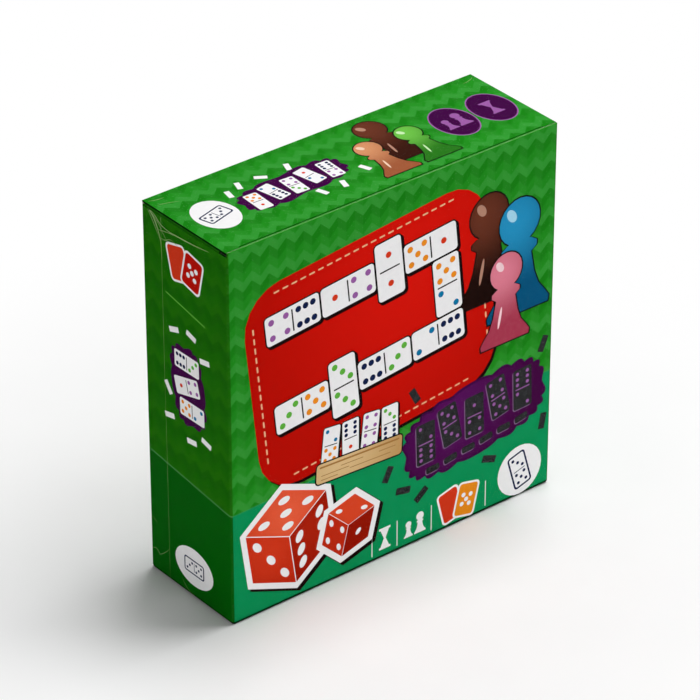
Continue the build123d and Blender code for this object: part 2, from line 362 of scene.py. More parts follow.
def disc(x, y, across, tall=None, turn=0.0):
    """The outline of a round or oval spot with the given half sizes."""
    tall = tall or across
    angles = [2 * pi * step / DISC_STEPS for step in range(DISC_STEPS)]
    return placed([(across * cos(a), tall * sin(a)) for a in angles], x, y, turn)


def print_motif(name, panel, body, layers):
    """Prints one motif on a panel; layers are (level, ink, outlines in millimetres on the panel)."""
    bpy.ops.object.select_all(action="DESELECT")
    bpy.ops.mesh.primitive_plane_add(size=MM)
    motif = bpy.context.object
    motif.name = motif.data.name = name
    bpy.ops.object.mode_set(mode="EDIT")
    bpy.ops.mesh.delete(type="VERT")
    for level, layer_ink, outlines in layers:
        if layer_ink.name not in motif.data.materials:
            motif.data.materials.append(layer_ink)
        motif.active_material_index = motif.data.materials.find(layer_ink.name)
        for outline in outlines:
            bpy.ops.mesh.select_all(action="DESELECT")
            bpy.ops.mesh.primitive_circle_add(vertices=len(outline), radius=MM, fill_type="NGON")
            sheet = bmesh.from_edit_mesh(motif.data)
            drawn = next(face for face in sheet.faces if face.select)
            for vertex, (u, v) in zip(drawn.verts, outline):
                vertex.co = (u * MM, v * MM, level * LAYER * MM)
            drawn.normal_update()
            if drawn.normal.z < 0:
                drawn.normal_flip()
            bpy.ops.object.material_slot_assign()
    bpy.ops.object.mode_set(mode="OBJECT")
    thicken = motif.modifiers.new("thickness", "SOLIDIFY")
    thicken.thickness = LAYER_THICKNESS * MM
    thicken.offset = -1.0
    bpy.ops.object.modifier_apply(modifier=thicken.name)
    motif.matrix_world = panel
    bpy.ops.object.transform_apply(location=True, rotation=True, scale=True)
    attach(motif, body)


def panel_plane(right, up, origin):
    """The place of a panel's outer face: right and up as seen by someone who looks at it."""
    right, up = Vector(right), Vector(up)
    columns = Matrix((right, up, right.cross(up))).transposed().to_4x4()
    return Matrix.Translation(Vector(origin) * MM) @ columns


def pip_places(value):
    """Where a domino half of 1 by 1 has its pips."""
    far = 0.27
    corners = [(-far, far), (far, -far), (far, far), (-far, -far)]
    if value < 2:
        return [(0, 0)] * value
    found = corners[:2] if value < 4 else corners
    found = found + ([(-far, 0), (far, 0)] if value == 6 else [])
    return found + ([(0, 0)] if value % 2 else [])


def domino(run, x, y, turn, values, size=TILE, pip=0.105, rim=0.7, cast=1.1):
    """Adds one upright domino to a run, with its values from the top down."""
    width, height = size
    radius = TILE_CORNER * width
    if rim:
        border = (width + 2 * rim, height + 2 * rim, radius + rim, turn)
        run["shadow"].append(card(x + cast, y - cast, *border))
        run["rim"].append(card(x, y, *border))
    run["face"].append(card(x, y, width, height, radius, turn))
    run["line"].append(card(x, y, *[part * width for part in TILE_LINE], turn))
    for half, value in zip((1, -1), values):
        spots = [(pu * width, half * height / 4 + pv * width) for pu, pv in pip_places(value)]
        for pu, pv in placed(spots, x, y, turn):
            run[value].append(disc(pu, pv, pip * width))


def new_run():
    """An empty run of dominoes."""
    return {key: [] for key in ["shadow", "rim", "face", "line"] + list(range(7))}


def all_pips(run):
    """The pips of a run of dominoes, to be printed in one ink."""
    return [spot for value in range(1, 7) for spot in run[value]]


def pip_sheets(run, level):
    """The pips of a run of dominoes as layers for print_motif, with an ink for each value."""
    return [(level, VALUE_INKS[value], run[value]) for value in range(1, 7) if run[value]]


def domino_sheets(run, level):
    """The sheets of a run of dominoes from a level up, as layers for print_motif."""
    sheets = [(level, shadow_ink, run["shadow"]), (level + 1, outline_ink, run["rim"])]
    sheets += [(level + 2, white, run["face"]), (level + 3, outline_ink, run["line"])]
    return sheets + pip_sheets(run, level + 3)


def on_mat(u, v):
    """A place on the mat, from its middle."""
    return placed([(u, v)], MAT[0], MAT[1], MAT_TURN)[0]


UP = (0, 0, 1)
front = panel_plane((1, 0, 0), UP, (0, -front_y, 0))
white = ink("ink_white", "#F7F6F7")
outline_ink = ink("ink_outline", "#14100F")
shadow_ink = ink("ink_shadow", "#1A0A0A")
navy = ink("ink_navy", "#14214A")
violet = ink("ink_violet", "#9A5CA3")
orange = ink("ink_orange", "#D8391B")
amber = ink("ink_amber", "#EE8F1D")
blue = ink("ink_blue", "#0F77A8")
lime = ink("ink_lime", "#5FB53C")
thread = ink("ink_thread", "#F0B98C")
VALUE_INKS = (None, orange, blue, lime, violet, amber, navy)
mat_red = ink("ink_mat_red", "#DE150A", "#BC0C02", (MAT[0] + 18, -front_y, MAT[1] + 26), 95.0)
stitches = []
mat_u, mat_v = MAT[2] / 2 - MAT_HEM, MAT[3] / 2 - MAT_HEM
for side in (1, -1):
    for k in range(-10, 11):
        stitches.append(card(*on_mat(k * STITCH_STEP, side * mat_v), *STITCH, 0.35, MAT_TURN))
    for k in range(-7, 8):
        stitches.append(card(*on_mat(side * mat_u, k * STITCH_STEP), *STITCH[::-1], 0.35, MAT_TURN))
chain = new_run()
CHAIN = (
    (-39.5, 28.5, 90, (4, 6)), (-10.5, 28.5, 90, (1, 4)), (11.5, 28.5, 0, (1, 1)), (33.5, 28.5, 90, (5, 1)),
    (40.5, 6.5, 0, (5, 2)), (33.5, -15.5, 90, (2, 6)), (4.5, -15.5, 90, (6, 3)), (-17.5, -15.5, 0, (3, 3)),
    (-39.5, -15.5, 90, (3, 5)),
)
for u, v, turn, values in CHAIN:
    domino(chain, *on_mat(u, v), turn + MAT_TURN, values)
print_motif("front_play_mat", front, "carton", [
    (1, shadow_ink, [card(MAT[0] + 1.2, MAT[1] - 1.6, MAT[2], MAT[3], MAT_RADIUS, MAT_TURN)]),
    (2, mat_red, [card(*MAT, MAT_RADIUS, MAT_TURN)]),
    (3, thread, stitches),
] + domino_sheets(chain, 3))

# Front print, pawns: three turned wooden pawns in lacquer colours, printed over the mat's right end. Each is
# shaded round from one light, with a dark border and two gleams.
PAWN_PROFILE = ((0.30, 0.0), (0.31, 0.05), (0.27, 0.11), (0.20, 0.2), (0.155, 0.32), (0.12, 0.5),
                (0.175, 0.54), (0.175, 0.585), (0.12, 0.62))
PAWN_HEAD = (0.8, 0.2)
HEAD_STEPS = 9
PAWNS = (
    ("brown", "#6A3524", "#160907", "#B98A74", 50.0, 106.0, 52.0),
    ("blue", "#2795C6", "#075078", "#A9DCF2", 67.0, 94.0, 56.0),
    ("pink", "#E58397", "#A8384F", "#FBD6DC", 60.0, 82.0, 44.0),
)


def pawn(x, y, height, grow=0.0):
    """A pawn's outline from its side, standing at x, y."""
    centre, radius = PAWN_HEAD
    half = [(u * height + grow, v * height - (grow if v < 0.02 else 0)) for u, v in PAWN_PROFILE]
    start = -pi / 3
    for step in range(HEAD_STEPS):
        angle = start + (pi / 2 - start) * step / HEAD_STEPS
        reach = radius * height + grow
        half.append((reach * cos(angle), centre * height + reach * sin(angle)))
    crown = [(0.0, (centre + radius) * height + grow)]
    return [(x + u, y + v) for u, v in half + crown + [(-u, v) for u, v in reversed(half)]]


def pawn_sheets(x, y, height, level, body_ink, gleam_ink, border=0.7):
    """A pawn's border, body and gleam, from a level up."""
    gleams = [disc(x - 0.08 * height, y + 0.87 * height, 0.04 * height, 0.065 * height, 35),
              disc(x - 0.07 * height, y + 0.3 * height, 0.016 * height, 0.12 * height, -10)]
    return [(level, outline_ink, [pawn(x, y, height, border)]), (level + 1, body_ink, [pawn(x, y, height)]),
            (level + 2, gleam_ink, gleams)]


for place, (tint, colour, shade, gleam, x, y, height) in enumerate(PAWNS):
    lit_spot = (x - 0.07 * height, -front_y, y + 0.8 * height)
    inks = (ink("ink_pawn_" + tint, colour, shade, lit_spot, 0.62 * height), ink("ink_gleam_" + tint, gleam))
    print_motif("front_pawn_" + tint, front, "carton", pawn_sheets(x, y, height, 3 + 3 * place, *inks))

# Front print, card rack: a light beech rack with a groove, and four domino cards that stand in it. The rack
# is printed over the cards' feet, with a dark border and a few lines of wood grain.
RACK = (-19.5, 55.0, 46.0, 9.5)
RACK_TURN = -3.0


def on_rack(u, v):
    """A place on the rack's front, from its middle."""
    return placed([(u, v)], RACK[0], RACK[1], RACK_TURN)[0]


rack_wood = ink("ink_beech", "#E2C18C", "#BE9256", (RACK[0] - 10, -front_y, RACK[1] + 6), 42.0)
rack_grain = ink("ink_beech_grain", "#A9783F")
held = new_run()
for k, values in enumerate(((2, 5), (6, 1), (4, 4), (3, 6))):
    lean = RACK_TURN + (3 if k % 2 else -3)
    domino(held, *on_rack(-16.0 + 10.6 * k, 12.5), lean, values, (8.8, 17.6), rim=0.5, cast=0.6)
grain = [card(*on_rack(u, v), length, 0.35, 0.15, RACK_TURN) for u, v, length in
         ((-13, -1.2, 15), (6, -2.2, 22), (15, 0.4, 9), (-4, 0.6, 12), (-16, -3.2, 9))]
print_motif("front_card_rack", front, "carton", domino_sheets(held, 3) + [
    (7, outline_ink, [card(RACK[0], RACK[1], RACK[2] + 1.4, RACK[3] + 1.4, 2.3, RACK_TURN)]),
    (8, rack_wood, [card(*RACK, 1.6, RACK_TURN)]),
    (9, rack_grain, grain + [card(*on_rack(0, 3.0), RACK[2] - 3.0, 0.9, 0.4, RACK_TURN)]),
])

# Front print, dice: two orange-red dice seen from a corner, cut round with a white border and a shadow. Each
# of the three faces has its own ink, lightest on top, and white pips.
DIE_RISE = 0.5
DIE_SPAN = cos(radians(30))
DIE_BORDER = 3.0
DIE_PIP = 0.1
DIE_INSET = ((0.01, 0.01), (0.99, 0.01), (0.99, 0.99), (0.01, 0.99))
DICE = ((-57.0, 32.0, 25.0, 8.0, (5, 3, 6), 3), (-25.5, 24.5, 15.0, -14.0, (2, 4, 1), 6))
die_faces = {
    "top": ((DIE_SPAN, DIE_RISE), (-DIE_SPAN, DIE_RISE)),
    "left": ((-DIE_SPAN, DIE_RISE), (0, -1)),
    "right": ((DIE_SPAN, DIE_RISE), (0, -1)),
}
die_inks = {
    "top": ink("ink_die_top", "#F0603E", "#DE4524", (-57, -front_y, 44), 26.0),
    "left": ink("ink_die_left", "#D8391B", "#C42A10", (-66, -front_y, 30), 26.0),
    "right": ink("ink_die_right", "#B3220C", "#971503", (-46, -front_y, 30), 26.0),
}


def on_die(face, die, u, v):
    """A point on a die's face, with u and v from 0 to 1."""
    (au, av), (bu, bv) = die_faces[face]
    x, y, edge, turn = die[:4]
    return placed([(edge * (u * au + v * bu), edge * (u * av + v * bv))], x, y, turn)[0]


def hexagon(x, y, size, turn):
    """The outline of a whole die."""
    return placed([(size * cos(radians(a)), size * sin(radians(a))) for a in range(30, 390, 60)], x, y, turn)


for name, die in zip(("front_die_large", "front_die_small"), DICE):
    x, y, edge, turn, values, level = die
    sheets = [(3, shadow_ink, [hexagon(x + 1.5, y - 1.5, edge + DIE_BORDER + 0.4, turn)])]
    sheets.append((level + 1, white, [hexagon(x, y, edge + DIE_BORDER, turn)]))
    for (face, face_ink), value in zip(die_inks.items(), values):
        inset = [on_die(face, die, u, v) for u, v in DIE_INSET]
        rounds = [disc(0.5 + pu, 0.5 + pv, DIE_PIP) for pu, pv in pip_places(value)]
        spots = [[on_die(face, die, u, v) for u, v in outline] for outline in rounds]
        sheets += [(level + 2, face_ink, [inset]), (level + 3, white, spots)]
    print_motif(name, front, "carton", sheets)

# Front print, plaque: a purple cloud with a row of domino tiles in black spot varnish, and loose varnished
# dashes round it. The spot varnish is thick and the only glossy print on the carton.
PLAQUE = (44.0, 50.0)
PLAQUE_TURN = 7.0
PLAQUE_CLOUD = (74.0, 32.0, PLAQUE_TURN, 22, 1.8)
LOBE_STEPS, OVAL_POWER = 8, 0.62
VARNISH_GLINT = 0.35
DASHES = ((10.5, 74.5, -62), (-4.0, 41.0, 64), (4.5, 29.5, -12), (14.5, 23.5, 40), (52.5, 26.0, -20),
          (82.0, 73.0, 68), (82.8, 33.5, 80))


def spot_varnish():
    """Black ink under thick spot varnish."""
    material = start_material("spot_varnished_black", {"Roughness": 0.12, "Specular IOR Level": 0.14})
    metres = add(material, "TexCoord", out="Object")
    flow = add(material, "TexNoise", {"Vector": metres, "Scale": 400.0, "Detail": 2.0})
    ramp = add(material, "ValToRGB", {0: flow}, out="Color")
    colour = set_stops(ramp, [(0.3, "#0C0D0F"), (0.7, "#15181B")])
    return surfaced(material, colour, flow, strength=0.3, depth=0.02)


def cloud(x, y, width, height, turn, lobes, depth, grow=0.0):
    """A scalloped outline round an oval card."""
    points = []
    for step in range(lobes * LOBE_STEPS):
        angle = 2 * pi * step / (lobes * LOBE_STEPS)
        bulge = depth * abs(sin(lobes * angle / 2)) + grow
        c, s = cos(angle), sin(angle)
        cu = (1 if c > 0 else -1) * abs(c) ** OVAL_POWER
        cv = (1 if s > 0 else -1) * abs(s) ** OVAL_POWER
        points.append((cu * (width / 2 + bulge), cv * (height / 2 + bulge)))
    return placed(points, x, y, turn)


def on_plaque(u, v):
    """A place on the plaque, from its middle."""
    return placed([(u, v)], *PLAQUE, PLAQUE_TURN)[0]


def dashes(places, length, width, radius):
    """Loose dashes; places are where they lie and how they turn."""
    return [card(x, y, length, width, radius, turn) for x, y, turn in places]


varnish = spot_varnish()
purple = ink("ink_purple", "#3F0742")
varnish_painted_highlight = ink("painted_varnish_highlight", "#8D6F93")
plaque_ink = ink("ink_plaque", "#56105A", "#42063F", (PLAQUE[0] - 12, -front_y, PLAQUE[1] + 12), 50.0)
glossy = new_run()
for k, values in enumerate(((2, 6), (5, 3), (1, 4), (4, 5), (6, 2))):
    lean = PLAQUE_TURN + (5 if k % 2 else -5)
    spot = on_plaque(-27.2 + 13.6 * k, 3.0 + (1.2 if k % 2 else -1.2))
    domino(glossy, *spot, lean, values, (10.4, 20.4), pip=0.085, rim=0)
for k in range(6):
    lean = PLAQUE_TURN + (3 if k % 2 else -3)
    glossy["face"].append(card(*on_plaque(-25.0 + 10.0 * k, -13.0), 7.4, 3.4, 1.2, lean))
# Painted highlight: a light violet copy of each varnished tile, shifted down and left, stands for light
# caught on the edge of the thick varnish.
glints = [[(u - VARNISH_GLINT, v - VARNISH_GLINT) for u, v in outline] for outline in glossy["face"]]
print_motif("front_plaque", front, "carton", [
    (3, purple, [cloud(*PLAQUE, *PLAQUE_CLOUD, grow=1.3)]),
    (4, plaque_ink, [cloud(*PLAQUE, *PLAQUE_CLOUD)]),
    (5, varnish_painted_highlight, glints),
    (6, varnish, glossy["face"]),
    (7, violet, glossy["line"] + all_pips(glossy)),
])
print_motif("front_dashes", front, "carton", [(3, varnish, dashes(DASHES, 8.0, 3.5, 0.3))])

# Front print, bottom row: thin dividers, small white signs for time, players and cards, and a white disc
# with a plain domino on it.
SAND = [(-3.1, -5.4), (3.1, -5.4), (3.1, -4.4), (2.3, -4.2), (0.5, 0.0), (2.3, 4.2), (3.1, 4.4), (3.1, 5.4),
        (-3.1, 5.4), (-3.1, 4.4), (-2.3, 4.2), (-0.5, 0.0), (-2.3, -4.2), (-3.1, -4.4)]
BADGE_RIM = 1.0


def round_badge(name, panel, body, x, y, across, tall, turn, level=3):
    """A white disc that bears one plain domino in navy lines."""
    width = 0.66 * min(across, tall)
    tile = new_run()
    domino(tile, x, y, turn, (3, 5), (width, 2 * width), pip=0.1, rim=0)
    print_motif(name, panel, body, [
        (level, white, [disc(x, y, across, tall)]),
        (level + 1, navy, [card(x, y, 1.22 * width, 2.22 * width, 0.2 * width, turn)]),
        (level + 2, white, tile["face"]),
        (level + 3, navy, tile["line"] + all_pips(tile)),
    ])


def cards_badge(name, panel, body, x, y, size, inks, level):
    """Two plain playing cards that lean apart, the right one with five pips."""
    width, height = size
    lean = ((x - 0.36 * width, y, 14), (x + 0.36 * width, y - 0.03 * height, -13))
    spots = placed([(0.62 * u * width, 0.66 * v * width) for u, v in pip_places(5)], *lean[1])
    inner = (width - 2 * BADGE_RIM, height - 2 * BADGE_RIM, 0.12 * width)
    sheets = []
    for k, (u, v, tilt) in enumerate(lean):
        sheets.append((level + 2 * k, white, [card(u, v, width, height, 0.18 * width, tilt)]))
        sheets.append((level + 2 * k + 1, inks[k], [card(u, v, *inner, tilt)]))
    sheets.append((level + 4, white, [disc(u, v, 0.09 * width) for u, v in spots]))
    print_motif(name, panel, body, sheets)


round_badge("front_round_badge", front, "carton", 70.2, 13.3, 12.5, 12.5, 16)
print_motif("front_dividers", front, "carton",
            [(3, white, [card(x, 9.0, 0.45, 13.0, 0.2) for x in (50.8, 20.3, 1.3, -12.5)])])
print_motif("front_player_sign", front, "carton", [(3, white, [pawn(7.6, 4.4, 8.0), pawn(14.0, 4.4, 10.4)])])
print_motif("front_time_sign", front, "carton", [(3, white, [[(u - 5.5, v + 9.6) for u, v in SAND]])])
cards_badge("front_cards_badge", front, "carton", 35.4, 11.2, (12.4, 17.4), (orange, amber), 3)

# Lid print: a white oval badge, a purple strip with small white dominoes, white dashes, pawns, and two
# purple ovals with plain signs.
top = panel_plane((1, 0, 0), (0, 1, 0), (0, 0, lid_top))
LID_DASHES = ((-56.9, 9.5, 78), (-49.6, 12.8, 72), (-38.2, 12.8, -32), (-24.2, 12.8, 70), (-26, -12.4, -72),
              (-14.9, -12.6, 74), (0.2, -7.5, -70))
LID_PAWNS = (("brown", "#6A3524", "#33140C", "#B98A74", 22.0, -12.5, 36.0),
             ("tan", "#D89468", "#9C5636", "#F4D2B8", 11.0, -20.0, 30.0),
             ("green", "#6FC24A", "#24721A", "#C9EDB4", 32.5, -20.0, 30.0))


def strip(name, panel, body, x, y, turn, size, values, lobes):
    """A purple scalloped strip of small white dominoes that lean to and fro."""
    length, height = size
    step = length / len(values) * 0.97
    tile = (0.5 * height, height)
    run = new_run()
    for k, pair in enumerate(values):
        spot = placed([((k - (len(values) - 1) / 2) * step, 0.8 if k % 2 else -0.8)], x, y, turn)[0]
        domino(run, *spot, turn + (7 if k % 2 else -7), pair, tile, pip=0.11, rim=0)
    print_motif(name, panel, body, [
        (1, purple, [cloud(x, y, length, height + 2.4, turn, lobes, 1.4, 0.7)]),
        (2, white, run["face"]), (3, outline_ink, run["line"]),
    ] + pip_sheets(run, 3))


round_badge("lid_round_badge", top, "lid", -71.0, -0.2, 9.7, 12.2, -74, level=1)
strip("lid_strip", top, "lid", -31.4, 0.0, 4.0, (51.0, 13.4), ((5, 1), (2, 6), (4, 3), (1, 2), (6, 4)), 16)
print_motif("lid_dashes", top, "lid", [(1, white, dashes(LID_DASHES, 5.6, 2.4, 0.2))])
for place, (tint, colour, shade, gleam, x, y, height) in enumerate(LID_PAWNS):
    lit_spot = (x - 0.07 * height, y + 0.85 * height, lid_top)
    body_ink = ink("ink_lid_pawn_" + tint, colour, shade, lit_spot, 0.7 * height)
    inks = (body_ink, ink("ink_lid_gleam_" + tint, gleam))
    print_motif("lid_pawn_" + tint, top, "lid", pawn_sheets(x, y, height, 1 + 3 * place, *inks, border=0.6))
for name, x, signs in (
    ("lid_players_sign", 54.0, [pawn(50.6, -5.2, 8.6), pawn(57.4, -5.2, 11.0)]),
    ("lid_time_sign", 74.5, [[(74.5 + u, v - 0.3) for u, v in SAND]]),
):
    print_motif(name, top, "lid", [
        (1, violet, [disc(x, -0.3, 9.9, 13.1)]), (2, purple, [disc(x, -0.3, 9.3, 12.5)]), (3, violet, signs),
    ])

# Side print, left and right alike: a cards badge, a divider, a purple strip of dominoes, dashes and an
# oval badge.
sides = {
    "left": panel_plane((0, -1, 0), UP, (-side_x, 0, 0)),
    "right": panel_plane((0, 1, 0), UP, (side_x, 0, 0)),
}
red = ink("ink_red", "#C01003")
divider = card(0.1, 140.4, 26.8, 0.6, 0.25, -11)
SIDE_DASHES = ((-8.1, 127.2, 18), (3.5, 129.2, -16), (12.3, 120.9, 10), (-12.8, 97.4, -55), (-12.4, 84.0, 12),
               (2.5, 78.0, 8), (12.4, 82.0, -14))
for name, panel in sides.items():
    cards_badge(name + "_side_cards_badge", panel, "carton", 0.4, 160.0, (13.2, 17.2), (orange, red), 1)
    print_motif(name + "_side_divider", panel, "carton", [(1, lime, [divider])])
    print_motif(name + "_side_dashes", panel, "carton", [(1, white, dashes(SIDE_DASHES, 6.5, 2.5, 0.2))])
    strip(name + "_side_strip", panel, "carton", 0.8, 103.6, 98, (34.0, 16.4), ((5, 2), (1, 4), (6, 3)), 14)
    round_badge(name + "_side_round_badge", panel, "carton", 2.1, 15.2, 13.1, 9.3, 90, level=1)

# Back print: three cream panels that show how a chain grows, each with a spot of one, two or three pips,
# a long panel with a whole game laid out, a purple strip, and a bare white box.
back = panel_plane((-1, 0, 0), UP, (0, front_y, 0))
PANEL_CORNER, PANEL_BORDER = 6.0, 0.8
STEP_PANEL, STEP_Y = (49.0, 46.0), 118.0
STEP_SPOT, STEP_SPOT_Y = (-18.0, 5.6), 136.5
GAME_PANEL, GAME_Y = (155.0, 46.0), 66.0


def bordered_panel(x, y, width, height):
    """A cream panel with a green border, as layers for print_motif."""
    border = (width + 2 * PANEL_BORDER, height + 2 * PANEL_BORDER, PANEL_CORNER + PANEL_BORDER)
    return [(1, leaf, [card(x, y, *border)]), (2, cream, [card(x, y, width, height, PANEL_CORNER)])]


cream =ink("ink_cream", "#F4ECD6")
leaf = ink("ink_leaf", "#8CC765")
strip("back_strip", back, "carton", 0.0, 159.0, 0, (92.0, 15.0),
      ((6, 1), (2, 4), (5, 5), (3, 2), (1, 6), (4, 5), (2, 3), (6, 6)), 26)
STEPS = (
    (-53.0, ((-7.5, 3.0, 8, (3, 5)), (7.5, 1.0, -8, (6, 2)))),
    (0.0, ((-11.0, 8.0, 90, (1, 4)), (12.0, 8.0, 90, (2, 1)), (0.0, -10.0, 75, (4, 6)))),
    (53.0, ((-11.5, -3.0, 90, (6, 3)), (4.5, -3.0, 0, (6, 6)), (13.5, 10.0, 12, (6, 5)))),
)
for count, (x, laid) in enumerate(STEPS, 1):
    run = new_run()
    for u, v, turn, values in laid:
        domino(run, x + u, STEP_Y + v, turn, values, (10.0, 20.0), rim=0.4, cast=0.6)
    spot_x = x + STEP_SPOT[0]
    pips = [disc(spot_x + 2.5 * (k - (count - 1) / 2), STEP_SPOT_Y, 0.9) for k in range(count)]
    print_motif(f"back_step_{count}", back, "carton", bordered_panel(x, STEP_Y, *STEP_PANEL) + [
        (3, purple, [disc(spot_x, STEP_SPOT_Y, STEP_SPOT[1])]), (4, white, pips),
    ] + domino_sheets(run, 3))
game = new_run()
GAME = (
    (-62, -8, 90, (2, 5)), (-40, -8, 90, (5, 1)), (-24.5, -8, 0, (1, 1)), (-9, -8, 90, (1, 6)),
    (7, -2.5, 0, (6, 3)), (12.5, 13.5, 90, (3, 4)), (28.5, 8, 0, (4, 2)), (34, -8, 90, (2, 2)),
    (56, -8, 90, (2, 6)),
)
for u, v, turn, values in GAME:
    domino(game, u, GAME_Y + v, turn, values, (10.4, 20.8), rim=0.4, cast=0.6)
print_motif("back_game_panel", back, "carton",
            bordered_panel(0, GAME_Y, *GAME_PANEL) + domino_sheets(game, 3))
print_motif("back_white_box", back, "carton", [(1, white, [card(56.0, 19.0, 42.0, 24.0, 1.5)])])
cards_badge("back_cards_badge", back, "carton", -66.0, 19.5, (14.0, 20.0), (orange, amber), 1)

# Cards: 56 coated board cards with round corners, in two packs of 28, on edge. The faces are softly glossy
# white with coloured pips, the backs have green chevrons, and the cut edges show the duller middle ply.
CARD_AIR = 0.03
CARD_PRINT, CARD_PIP = 0.84, 0.075
CARD_FACING = 0.5
CARD_WAVE, CARD_SLOPE, CARD_ROWS = 5.0, -0.9, 12.0


def card_board():
    """Coated white card with a printed back and a layered edge."""
    material = start_material("coated_card_board", {"Roughness": 0.35, "Specular IOR Level": 0.35})
    place = in_millimetres(material)
    normal = add(material, "SeparateXYZ", {0: add(material, "TexCoord", out="Normal")}, out="Y")
    fibre = add(material, "TexNoise", {"Vector": place, "Scale": 1.2, "Detail": 6.0})
    face = set_stops(add(material, "ValToRGB", {0: fibre}, out="Color"), [(0.3, "#EDEBE6"), (0.7, "#F5F4F1")])
    edge = set_stops(add(material, "ValToRGB", {0: fibre}, out="Color"), [(0.3, "#CFC9BC"), (0.7, "#E6E2D8")])
    facing = add(material, "Math", {0: normal}, operation="ABSOLUTE")
    flat = add(material, "Math", {0: facing, 1: CARD_FACING}, operation="GREATER_THAN")
    colour = add(material, "Mix", {"Factor": flat, 6: edge, 7: face}, **COLOUR_MIX)
    reverse = add(material, "Math", {0: normal, 1: CARD_FACING}, operation="GREATER_THAN")
    split = add(material, "SeparateXYZ", {0: place}, out="X").node
    wave = add(material, "Math", {0: split.outputs["X"], 1: CARD_WAVE}, operation="PINGPONG")
    rows = add(material, "Math", {0: wave, 1: CARD_SLOPE, 2: split.outputs["Z"]}, operation="MULTIPLY_ADD")
    rows = add(material, "Math", {0: rows, 1: CARD_ROWS}, operation="DIVIDE")
    tone = add(material, "Math", {0: rows}, operation="FRACT")
    ramp = add(material, "ValToRGB", {0: tone}, out="Color")
    chevrons = set_stops(ramp, [(0.0, "#259024"), (0.5, "#34993A")], "CONSTANT")
    colour = add(material, "Mix", {"Factor": reverse, 6: colour, 7: chevrons}, **COLOUR_MIX)
    return surfaced(material, colour, fibre, strength=0.15, depth=0.02)


coated_card = card_board()
for pack in ("card_pack_left", "card_pack_right"):
    for node in frame["record"]["behaviour"]["bodies"][pack]:
        if not node.startswith("card_"):
            continue
        finish(node, coated_card)
        low, high = corner_of(node, True), corner_of(node, False)
        width, height = high.x - low.x, high.z - low.z
        next_face = -(high.y - low.y + CARD_AIR) / 2 / LAYER
        values = [int(value) for value in node.split("_")[1:]]
        face = new_run()
        middle = ((low.x + high.x) / 2, (low.z + high.z) / 2)
        domino(face, *middle, 0, values, (CARD_PRINT * width, height), CARD_PIP / CARD_PRINT, rim=0)
        marks = []
        for level in (1, 1 + next_face):
            marks += [(level, navy, face["line"])] + pip_sheets(face, level)
        print_motif("print_" + node, panel_plane((1, 0, 0), UP, (0, low.y, 0)), pack, marks)

# Paper bands: a strip of white wrapping paper round the middle of each pack, glued to hold it together.
# Uncoated paper shows soft clouds of fibre and hardly any shine.


def paper(name, light, dark, fibre_scale):
    """Uncoated paper with soft clouds of fibre."""
    material = start_material(name, {"Roughness": 0.85, "Specular IOR Level": 0.15})
    place = in_millimetres(material)
    clouds = {"Vector": place, "Scale": fibre_scale, "Detail": 8.0, "Distortion": 1.0}
    fibre = add(material, "TexNoise", clouds)
    colour = set_stops(add(material, "ValToRGB", {0: fibre}, out="Color"), [(0.3, dark), (0.65, light)])
    return surfaced(material, colour, fibre, strength=0.35, depth=0.03)


band_paper = paper("uncoated_band_paper", "#F0EDE4", "#DCD7C9", 0.9)
for node in ("paper_band_left", "paper_band_right"):
    finish(node, band_paper)

# Rules leaflet: one folded sheet of thin offset paper, held under the right band. Its front shows rows of
# plain dominoes in navy, and no words.
finish("rules_leaflet", paper("offset_leaflet_paper", "#F6F5F0", "#E6E3DA", 1.5))
leaflet_low, leaflet_high = corner_of("rules_leaflet", True), corner_of("rules_leaflet", False)
leaflet_x, leaflet_z = (leaflet_low.x + leaflet_high.x) / 2, (leaflet_low.z + leaflet_high.z) / 2
samples = new_run()
for row, v in enumerate((46.0, 30.0, -30.0, -46.0)):
    for column in range(3):
        pair = ((row + column) % 7, (2 * row + column + 3) % 7)
        domino(samples, leaflet_x + 19.0 * (column - 1), leaflet_z + v, 90, pair, (7.5, 15.0), rim=0)
leaflet_plane = panel_plane((1, 0, 0), UP, (0, leaflet_low.y, 0))
print_motif("leaflet_print", leaflet_plane, "card_pack_right", [
    (1, leaf, samples["face"]), (2, navy, samples["line"] + all_pips(samples)),
])

# Shrink film: clear polyolefin, shrunk tight round the closed carton. Its walls are so clear that only a
# faint sheen shows, with a welded seam down each side and gathered folds near the back corners.
FOLD_FLATNESS = 0.3
FOLD_MIDDLE = 0.125
SEAM_Y = 15.0


def film_material(name, code, alpha, roughness, metallic):
    """Clear film that adds its sheen to what lies under it."""
    constants = {"Roughness": roughness, "Alpha": alpha, "Metallic": metallic, "Specular IOR Level": 0.1}
    material = start_material(name, constants)
    metres = add(material, "TexCoord", out="Object")
    haze = add(material, "TexNoise", {"Vector": metres, "Scale": 60.0, "Detail": 3.0})
    colour = set_stops(add(material, "ValToRGB", {0: haze}, out="Color"), [(0.3, code[0]), (0.7, code[1])])
    waves = add(material, "TexNoise", {"Vector": metres, "Scale": 90.0, "Detail": 2.0})
    return surfaced(material, colour, waves, strength=0.5, depth=0.15)


